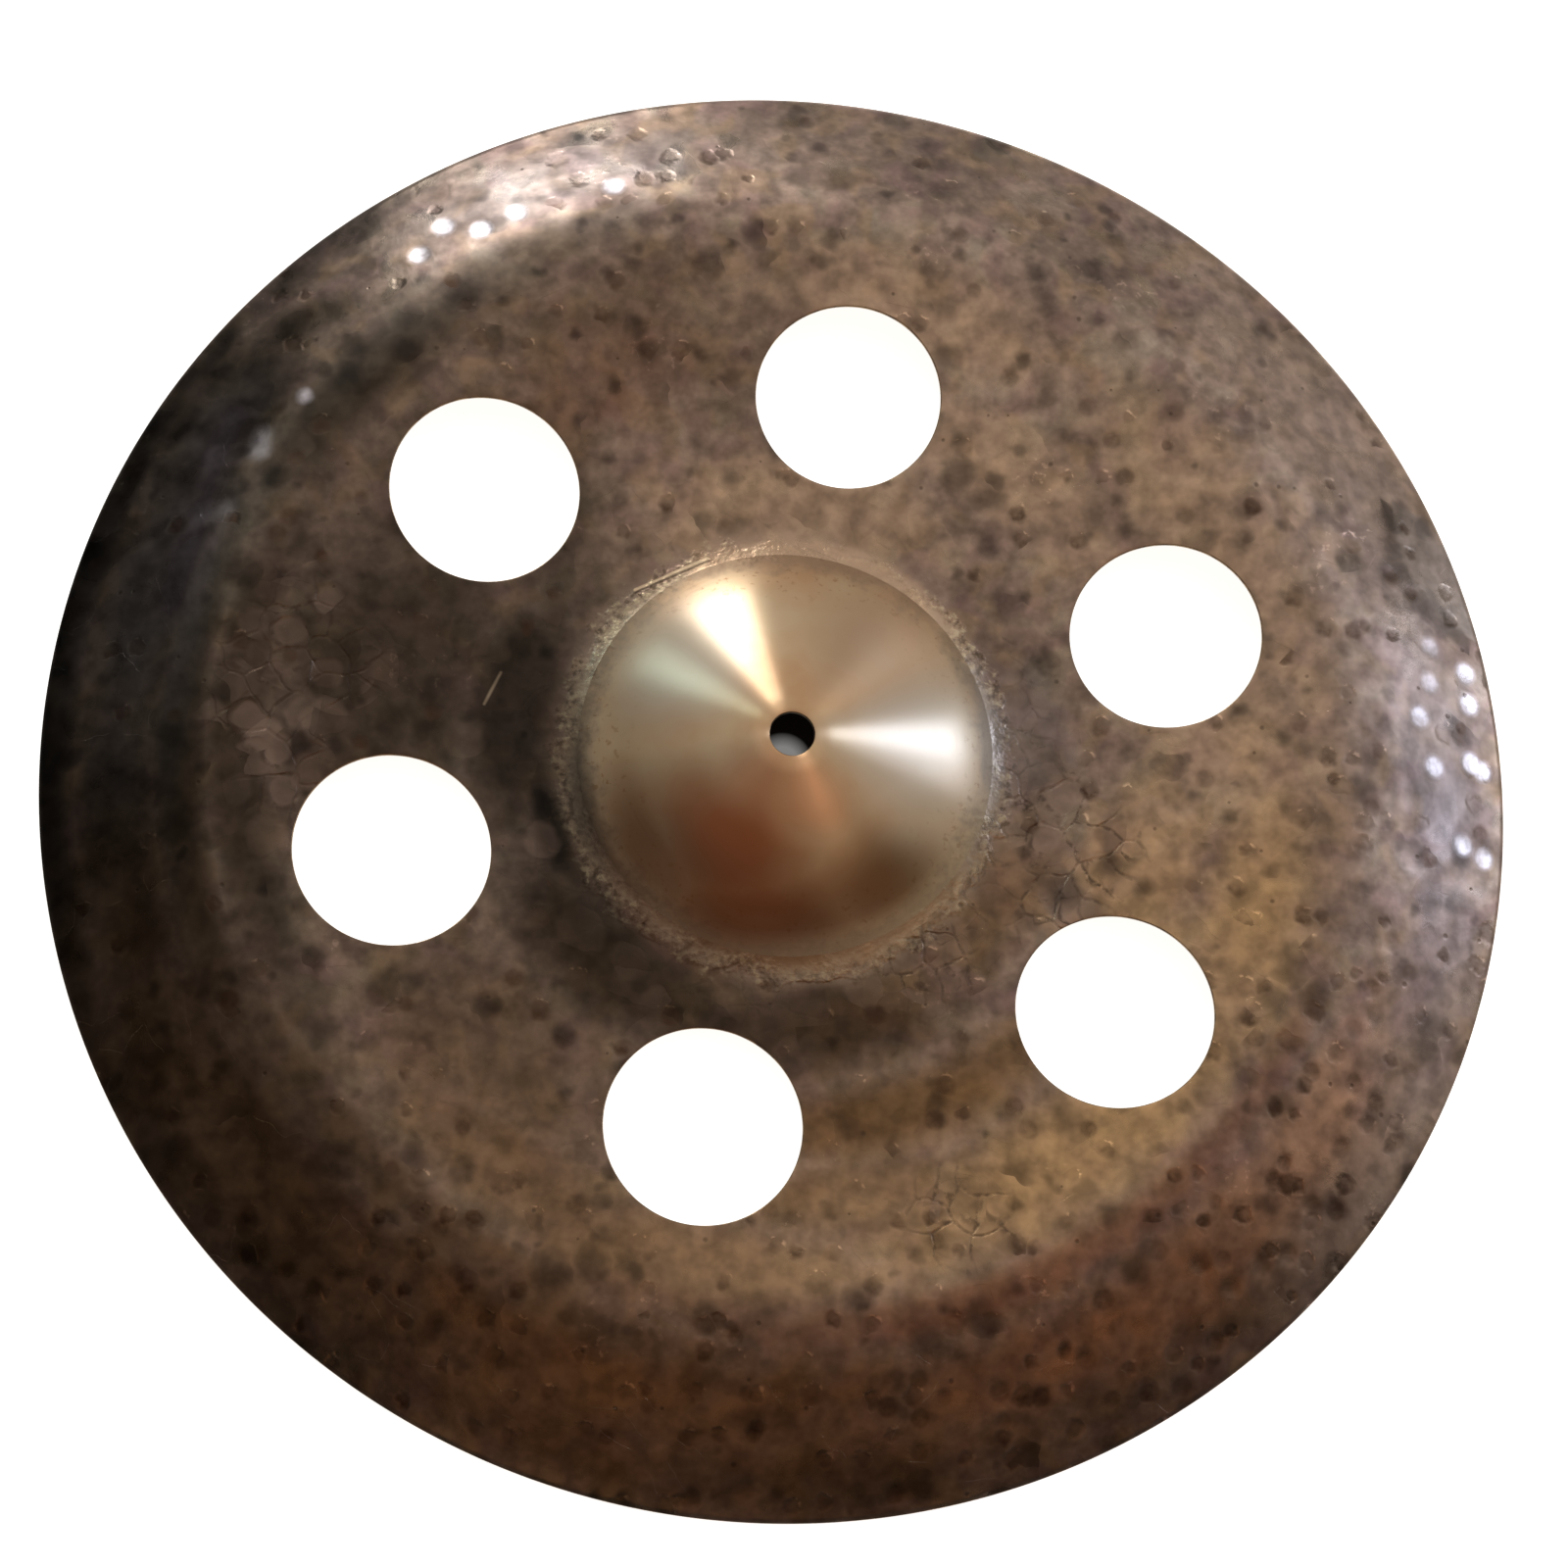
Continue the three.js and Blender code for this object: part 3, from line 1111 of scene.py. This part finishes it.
    def lay_dents(self, skin: Skin, fleck: Socket) -> None:
        """Lays the round dents of the small hammer, dark with patina and painted shade and with
        painted glints, and the fine pits between them.

        Args:
            skin: the skin that takes them.
            fleck: the fine noise that breaks their colour.
        """
        dented, in_dent = (skin.add("Attribute", out="Fac", attribute_name=name)
                           for name in ("dented", "in_dent"))
        small = self.dents.on(skin, skin.wander(*self.dent_drift), dented)
        deep, shaded, uneven, spark, dark, bright = (skin.add("MapRange", spread) for spread in (
            (small.tone, 0.0, 1.0, 0.25, 0.9),
            (small.side, -1.0, 1.0, 0.5, 1.0),
            (fleck, 0.35, 0.6, 0.6, 1.0),
            (fleck, 0.50, 0.58, 0.0, 0.8),
            (in_dent, 0.0, 1.0, 0.0, 0.7),
            (in_dent, 0.0, -1.0, 0.0, 0.82),
        ))
        # Each dent is darker inside, partly patina and partly painted shade, darkest on its
        # shadowed side, with a painted glint on the other side
        skin.lay(self.dent_patina_and_shade_colour, small.inside, deep, shaded, uneven)
        skin.tone(2.4, small.glint, spark)
        skin.lift(-self.dent_depth, small.inside)
        # Painted shade and darker patina inside the mesh's dents, and a painted highlight inside
        # those listed with a glint
        skin.lay(self.dent_patina_and_shade_colour, dark, uneven)
        skin.lay(self.painted_glint_colour, bright, uneven)
        fine = self.pits.on(skin, skin.plan, 0.06)
        skin.lay(self.crevice_and_shadow_colour, fine.inside, 0.5)
        skin.lift(-self.pit_depth, fine.inside)

    def lay_flecks(self, skin: Skin, fleck: Socket, patches: Socket) -> None:
        """Lays small flecks of barer, lighter metal, in a few patches.

        Args:
            skin: the skin that takes them.
            fleck: the fine noise that shapes them.
            patches: the coarse noise that says where they lie.
        """
        patch = skin.add("SeparateColor", (patches,), 1)
        patch = skin.add("MapRange", (patch, 0.62, 0.72))
        skin.tone(2.0, skin.add("MapRange", (fleck, 0.60, 0.68, 0.0, 0.6)), patch)


@dataclass(frozen=True)
class LathedCup(Finish):
    """The cup of cast bell bronze, turned clean on a lathe and finely brushed round the axis.

    The eye sees a golden skin with bright streaks that run out from the hole, square to the
    brushing.
    """

    title: str = "cast_bronze_lathed_brushed"
    roughness: float = 0.33
    swing: float = -0.04
    gold: str = "#cbb391"
    warm: str = "#c09c77"
    stain: str = "#a07a52"
    cloud_size: float = 22.0
    spot_size: float = 2.0
    # The real grooves are under 0.1 mm apart; they are drawn coarser so that they can be seen
    groove_spacing: float = 0.5
    groove_depth: float = 0.004
    anisotropy: float = 0.92
    # A quarter turn lays the brushing round the axis
    brush_turn: float = 0.25

    def build(self) -> bpy.types.Material:
        """Makes the material.

        Returns:
            The material.
        """
        skin = self.start()
        add = skin.add
        across = add("CombineXYZ", (skin.reach,))
        grooves, cloud, spots = (add("TexNoise", {
            "Vector": vector, "Scale": 1 / size, "Detail": detail, "Roughness": rough,
        }) for vector, size, detail, rough in (
            (across, self.groove_spacing, 2.0, 0.5),
            (skin.place, self.cloud_size, 3.0, 0.5),
            (skin.place, self.spot_size, 2.0, 0.6),
        ))
        skin.colour = add("ValToRGB", (cloud,), stops=((0.35, self.warm), (0.65, self.gold)))
        outer = add("MapRange", (skin.reach, 38.0, 52.0, 0.0, 0.8))
        skin.lay(self.stain, outer, add("MapRange", (spots, 0.60, 0.70)))
        FootRing().lay_on(skin)
        # The cup's patches: painted reflections and highlights, red-brown below the hole and
        # silver at the sides
        wash = add("Attribute", out="Color", attribute_name="tint")
        skin.lay(wash, add("Attribute", out="Fac", attribute_name="tint_strength"))
        skin.lift(self.groove_depth, grooves)
        worn = add("MapRange", (skin.reach, 43.0, 56.0, 0.0, 0.22), **SMOOTH)
        return self.dress(skin, grooves, worn, {
            "Anisotropic": self.anisotropy,
            "Anisotropic Rotation": self.brush_turn,
            "Tangent": add("Tangent", direction_type="RADIAL", axis="Z"),
        })


@dataclass(frozen=True)
class FiledEdge(Finish):
    """Cut edges of the sheet, filed smooth.

    The eye sees a thin, brighter line of clean metal round each hole.
    """

    title: str = "cast_bronze_filed_edge"
    roughness: float = 0.35
    metal: str = "#8f785c"
    worn: str = "#5f4d3c"
    mark_size: float = 3.0
    mark_height: float = 0.03

    def build(self) -> bpy.types.Material:
        """Makes the material.

        Returns:
            The material.
        """
        skin = self.start()
        noise = {"Vector": skin.place, "Scale": 1 / self.mark_size, "Detail": 4.0}
        marks = skin.add("TexNoise", noise)
        skin.colour = skin.add("ValToRGB", (marks,), stops=((0.35, self.worn), (0.6, self.metal)))
        skin.lift(self.mark_height, marks)
        return self.dress(skin, marks)


@dataclass(frozen=True)
class Underside(Finish):
    """The underside of the sheet, hammered and left raw, out of the photograph's sight.

    The eye sees a darker, quieter brown than on top, with faint blotches.
    """

    title: str = "cast_bronze_hammered_raw_underside"
    roughness: float = 0.42
    metallic: float = 0.92
    dark: str = "#5f4e3e"
    brown: str = "#7d6958"
    tan: str = "#957f6a"
    blotch_size: float = 14.0
    grain_size: float = 1.6
    grain_height: float = 0.04

    def build(self) -> bpy.types.Material:
        """Makes the material.

        Returns:
            The material.
        """
        skin = self.start()
        blotch, grain = (skin.add("TexNoise", {
            "Vector": skin.place, "Scale": 1 / size, "Detail": detail, "Roughness": rough,
        }) for size, detail, rough in ((self.blotch_size, 4.0, 0.55), (self.grain_size, 2.0, 0.5)))
        browns = (0.36, self.dark), (0.50, self.brown), (0.64, self.tan)
        skin.colour = skin.add("ValToRGB", (blotch,), stops=browns)
        skin.lift(self.grain_height, grain)
        return self.dress(skin, blotch)


@dataclass(frozen=True)
class CymbalSheet:
    """The whole cymbal as one closed, hammered sheet."""

    camera: PhotoCamera = PhotoCamera()
    hammering: HammerWork = HammerWork()
    cut_outs: CutOuts = CutOuts()
    tints: Tints = Tints()
    upper_spacing: float = 1.7
    lower_spacing: float = 2.4
    rim_points: int = 720
    cut_out_points: int = 144
    hole_points: int = 72
    finish_radius: float = 57.0
    finish_points: int = 240
    filling_seed: int = 7
    dent_rings: tuple[tuple[float, int], ...] = ((0.4, 6), (0.7, 9), (1.0, 12), (1.3, 14))
    # The least gaps between the rings' points, and from them to the cut-outs and the rim
    least_gap: float = 0.5
    cut_out_gap: float = 1.0
    rim_gap: float = 0.6
    # Places nearer than this are one, in millimetres
    merge_distance: float = 1e-7

    def loops(self, end_radius: float) -> list[np.ndarray]:
        """The circles that a face keeps.

        Args:
            end_radius: where the face ends at the rim.

        Returns:
            The rim, the centre hole, the cut-outs, and last the edge of the cup's finish.
        """
        section, origin = self.camera.subject, np.zeros(2)
        inset, cut_outs = section.edge_round, self.cut_outs
        return [
            circle(origin, end_radius, self.rim_points),
            circle(origin, section.hole_radius + inset, self.hole_points),
            *(circle(c, cut_outs.radius + inset, self.cut_out_points) for c in cut_outs.centres()),
            circle(origin, self.finish_radius, self.finish_points),
        ]

    def face(self, curve: np.ndarray, end_radius: float, spacing: float, share: float,
             dents: np.ndarray) -> tuple[np.ndarray, np.ndarray, list[np.ndarray], np.ndarray]:
        """Fills one face in plan with evenly spaced triangles, finer round each dent.

        Args:
            curve: radius and height of the turned face.
            end_radius: where the face ends at the rim.
            spacing: the distance between neighbouring points.
            share: how much of the hammering shows on this face.
            dents: the dents that get rings of points of their own.

        Returns:
            The points, the triangles, the indices of each boundary circle, and how far inside
            a dent each point is.
        """
        section, loops = self.camera.subject, self.loops(end_radius)
        hole = section.hole_radius + section.edge_round
        rng = np.random.default_rng(self.filling_seed)
        filling = []
        # Rows of even triangles are 0.866 of their side apart
        for ring in np.arange(hole + 0.7 * spacing, end_radius - 0.5 * spacing, spacing * 0.866):
            if abs(ring - self.finish_radius) < 0.6 * spacing:
                continue
            count = round(2 * math.pi * ring / spacing)
            turn = rng.uniform(0, 2 * math.pi)
            cos, sin = math.cos(turn), math.sin(turn)
            filling.append(circle((0, 0), ring, count) @ np.array([[cos, sin], [-sin, cos]]))
        inner = np.concatenate(filling)
        inner = inner[self.cut_outs.clear(inner, section.edge_round + 0.6 * spacing)]
        points = np.concatenate(loops + [self.ring_dents(inner, dents, end_radius)])
        starts = np.cumsum([0] + [len(loop) for loop in loops])
        edges = [(start + i, start + (i + 1) % len(loop))
                 for start, loop in zip(starts, loops) for i in range(len(loop))]
        done = delaunay_2d_cdt([Vector(p) for p in points], edges, [], 0, self.merge_distance)
        plan = np.array([tuple(v) for v in done[0]])
        moved = np.zeros(len(points), int)
        for new, olds in enumerate(done[3]):
            moved[olds] = new
        triangles = np.array(done[2])
        middles = plan[triangles].mean(1)
        keep = (reach_of(middles) > hole) & self.cut_outs.clear(middles, section.edge_round)
        rings = [moved[start:end] for start, end in zip(starts, starts[1:-1])]
        dip, in_dent = self.hammering.relief(plan)
        height = np.interp(reach_of(plan), curve[:, 0], curve[:, 1]) - dip * share
        return np.column_stack([plan, height]), triangles[keep], rings, in_dent

    def ring_dents(self, inner: np.ndarray, dents: np.ndarray, end_radius: float) -> np.ndarray:
        """Sets rings of points on each dent, in place of the even ones there.

        Args:
            inner: the even points of the face.
            dents: one row a dent: x, y, radius and depth.
            end_radius: where the face ends at the rim.

        Returns:
            The points with those of the dents.
        """
        extra = inner[:0]
        for x, y, radius, _ in dents:
            outermost = self.dent_rings[-1][0] * radius
            inner = inner[reach_of(inner, (x, y)) > outermost + 0.4 * self.upper_spacing]
            rings = [circle((x, y), share * radius, count) for share, count in self.dent_rings]
            extra = np.concatenate([extra, [(x, y)], *rings])
        inside = reach_of(extra) < end_radius - self.rim_gap
        extra = extra[inside & self.cut_outs.clear(extra, self.cut_out_gap)]
        cells = {}
        for x, y in extra:
            cells.setdefault((round(x / self.least_gap), round(y / self.least_gap)), (x, y))
        return np.concatenate([inner, np.array(list(cells.values())).reshape(-1, 2)])

    def wall_rings(self, which: int, top: np.ndarray, bottom: np.ndarray,
                   rim_rings: np.ndarray) -> list[np.ndarray]:
        """The rings of an edge between the two faces, with its corners broken.

        Args:
            which: 0 for the rim, 1 for the centre hole, and more for a cut-out.
            top: the upper face's boundary.
            bottom: the lower face's boundary.
            rim_rings: radius and height of the rim's rings.

        Returns:
            The rings from the upper one to the lower one.
        """
        if which == 0:
            turns = np.arctan2(top[:, 1], top[:, 0])
            return [np.column_stack([r * np.cos(turns), r * np.sin(turns), np.full(len(turns), z)])
                    for r, z in rim_rings[1:-1]]
        section = self.camera.subject
        centre = self.cut_outs.centres()[which - 2] if which > 1 else (0, 0)
        radius = self.cut_outs.radius if which > 1 else section.hole_radius
        e = section.edge_round
        part = section.corner_share * e
        return [np.column_stack([circle(centre, radius + out, len(top)), height])
                for out, height in ((part, top[:, 2] - part), (0, top[:, 2] - e),
                                    (0, bottom[:, 2] + e), (part, bottom[:, 2] + part))]

    def build(self) -> bpy.types.Object:
        """Builds the sheet and dresses it.

        Returns:
            The sheet.
        """
        upper_curve, lower_curve, rim = self.camera.subject.curves()
        dents = self.hammering.dents()
        upper, upper_faces, upper_loops, in_dent = self.face(
            upper_curve, rim[0, 0], self.upper_spacing, 1.0, dents)
        lower, lower_faces, lower_loops, _ = self.face(
            lower_curve, rim[-1, 0], self.lower_spacing, self.hammering.under_share, dents[:0])
        on_cup = reach_of(upper[upper_faces, :2].mean(1)) < self.finish_radius
        parts = [upper, lower]
        faces = [upper_faces, lower_faces[:, ::-1] + len(upper)]
        slots = [
            np.where(on_cup, Surface.CUP.value, Surface.PATINA.value),
            np.full(len(lower_faces), Surface.UNDERSIDE.value),
        ]
        count = len(upper) + len(lower)
        for i, (top, bottom) in enumerate(zip(upper_loops, lower_loops)):
            chain = [top]
            for ring in self.wall_rings(i, upper[top], lower[bottom], rim):
                chain.append(np.arange(count, count + len(ring)))
                parts.append(ring)
                count += len(ring)
            chain.append(bottom + len(upper))
            surface = Surface.CUT_EDGE if i else Surface.PATINA
            for above, below in zip(chain, chain[1:]):
                quad = np.stack([above, below, np.roll(below, -1), np.roll(above, -1)], -1)
                faces.append(quad[:, ::-1] if i else quad)
                slots.append(np.full(len(quad), surface.value))
        points = np.concatenate(parts)
        polygons = [tuple(polygon) for some in faces for polygon in some.tolist()]
        mesh = bpy.data.meshes.new("hammered_sheet")
        mesh.from_pydata((points * MM).tolist(), [], polygons)
        mesh.polygons.foreach_set("material_index", np.concatenate(slots).astype(np.int32))
        mesh.polygons.foreach_set("use_smooth", np.ones(len(polygons), bool))
        self.paint(mesh, points[:, :2], in_dent)
        mesh.validate()
        mesh.update()
        for finish in (RawPatina(camera=self.camera), LathedCup(), FiledEdge(), Underside()):
            mesh.materials.append(finish.build())
        triangles = sum(len(polygon) - 2 for polygon in polygons)
        log.info("hammered sheet: %d points, %d triangles, %d dents", count, triangles, len(dents))
        return add_object("hammered_sheet", mesh)

    def paint(self, mesh: bpy.types.Mesh, plan: np.ndarray, in_dent: np.ndarray) -> None:
        """Writes the tarnish with its painted shade and light, and the dents with their painted
        shade and glints, to the mesh for the finishes to read.

        Args:
            mesh: the sheet's mesh.
            plan: the place in plan of each of its points.
            in_dent: how far inside a dent each point of the upper face is.
        """
        colour, strength = self.tints.wash(plan)
        wash = np.column_stack([colour, np.ones(len(plan))]).astype(np.float32)
        mesh.attributes.new("tint", "FLOAT_COLOR", "POINT").data.foreach_set("color", wash.ravel())
        for name, values in (
                ("tint_strength", strength),
                ("in_dent", np.pad(in_dent, (0, len(plan) - len(in_dent)))),
                ("scaly", self.hammering.scaly(plan)),
                ("dented", self.hammering.dented(plan))):
            layer = mesh.attributes.new(name, "FLOAT", "POINT")
            layer.data.foreach_set("value", values.astype(np.float32))


@dataclass(frozen=True)
class SoftBox:
    """A soft panel of light that faces the cymbal. Its distance and sides are metres."""

    title: str
    azimuth: float
    elevation: float
    distance: float
    width: float
    height: float
    radiance: float
    colour: str

    def build(self) -> None:
        """Adds the light."""
        data = bpy.data.lights.new(self.title, "AREA")
        data.shape, data.size, data.size_y = "RECTANGLE", self.width, self.height
        data.energy = self.radiance * math.pi * self.width * self.height
        data.color = linear(self.colour)[:3]
        a, e = math.radians(self.azimuth), math.radians(self.elevation)
        way = Vector((math.cos(e) * math.cos(a), math.cos(e) * math.sin(a), math.sin(e)))
        light = add_object(self.title, data)
        light.location = way * self.distance
        light.rotation_euler = way.to_track_quat("Z", "Y").to_euler()
        light.visible_camera = False


@dataclass(frozen=True)
class Studio:
    """The pale floor and the soft light round the cymbal.

    The floor's side, its drop below the rim and the radii of its painted shadow and painted spot
    of light are metres.
    """

    floor_side: float = 40.0
    floor_drop: float = 0.0002
    floor_colour: str = "#f3f3f1"
    floor_glow: float = 1.0
    shade_colour: str = "#1c1917"
    shade_radius: float = 0.056
    light_spot_radius: float = 0.007
    world_colour: str = "#9a8470"
    world_strength: float = 0.10
    lights: tuple[SoftBox, ...] = (
        SoftBox("overhead", 100, 77, 2.0, 2.2, 1.8, 0.76, "#fff7f0"),
        SoftBox("far_panel", 79, 30, 2.4, 2.6, 2.1, 0.68, "#fcf6f2"),
        SoftBox("right_panel", 16, 30, 2.4, 3.2, 2.1, 0.70, "#fcf6f2"),
        SoftBox("left_panel", 147, 44, 2.2, 1.2, 1.0, 0.28, "#e6f2ec"),
        SoftBox("far_window", 103, 22, 2.2, 0.55, 0.70, 14.0, "#eaeef4"),
        SoftBox("far_lamp", 105, 38, 2.2, 0.24, 0.26, 12.0, "#fff4e6"),
        SoftBox("right_window", 14, 21, 2.2, 0.80, 0.50, 5.0, "#d6e2fa"),
        SoftBox("right_lamp", 22, 40, 2.2, 0.32, 0.34, 14.0, "#c8d8f4"),
        SoftBox("left_window", 127, 42, 2.2, 0.34, 0.26, 8.0, "#d6f2ee"),
        SoftBox("left_fill", 118, 34, 2.3, 0.70, 0.80, 0.9, "#ece8e0"),
        SoftBox("warm_wall", 284, 58, 2.4, 3.4, 2.0, 0.62, "#a8805f"),
        SoftBox("warm_lamp", 326, 68, 2.2, 0.24, 0.24, 1.7, "#ffc8a0"),
    )

    def build(self) -> None:
        """Adds the floor, the world and the lights."""
        mesh = bpy.data.meshes.new("floor")
        h = self.floor_side / 2
        mesh.from_pydata([(-h, -h, 0), (h, -h, 0), (h, h, 0), (-h, h, 0)], [], [(0, 1, 2, 3)])
        mesh.materials.append(self.floor_material())
        floor = add_object("floor", mesh)
        floor.location.z = -self.floor_drop
        world = bpy.data.worlds.new("dim_room")
        world.use_nodes = True
        world.node_tree.nodes.clear()
        lit = {"Color": linear(self.world_colour), "Strength": self.world_strength}
        glow = add_node(world.node_tree, "Background", lit)
        add_node(world.node_tree, "OutputWorld", {"Surface": glow}, None)
        bpy.context.scene.world = world
        bpy.context.scene.view_settings.view_transform = "Standard"
        for light in self.lights:
            light.build()
        log.info("studio: floor and %d soft lights", len(self.lights))

    def floor_material(self) -> bpy.types.Material:
        """Matt pale paper with a painted shadow under the cup, and a painted spot of light where
        light falls through the hole.

        Returns:
            The material.
        """
        material = bare_material("matt_paper")
        add = partial(add_node, material.node_tree)
        reach = add("VectorMath", (add("TexCoord", out="Object"),), "Value", operation="LENGTH")
        edge, spot = self.shade_radius, self.light_spot_radius
        shares = tuple(add("MapRange", (reach, *spread)) for spread in (
            (0.5 * edge, edge), (1.2 * spot, 0.6 * spot, 0.0, 0.22)))
        lit = add("Math", shares, operation="MAXIMUM")
        colours = linear(self.shade_colour), linear(self.floor_colour)
        return shade(material, {
            "Base Color": add("Mix", {0: lit, 6: colours[0], 7: colours[1]}, 2, data_type="RGBA"),
            "Roughness": 0.9,
            "Emission Color": colours[1],
            "Emission Strength": add("Math", (lit, self.floor_glow), operation="MULTIPLY"),
        })


def main() -> None:
    """Builds the cymbal and the studio."""
    logging.basicConfig(level=logging.INFO, format="%(message)s")
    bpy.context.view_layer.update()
    camera = PhotoCamera()
    sheet = CymbalSheet(camera, HammerWork(camera)).build()
    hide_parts("cymbal")
    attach(sheet, "root")
    Studio().build()
    camera.build()


if __name__ == "__main__":
    main()
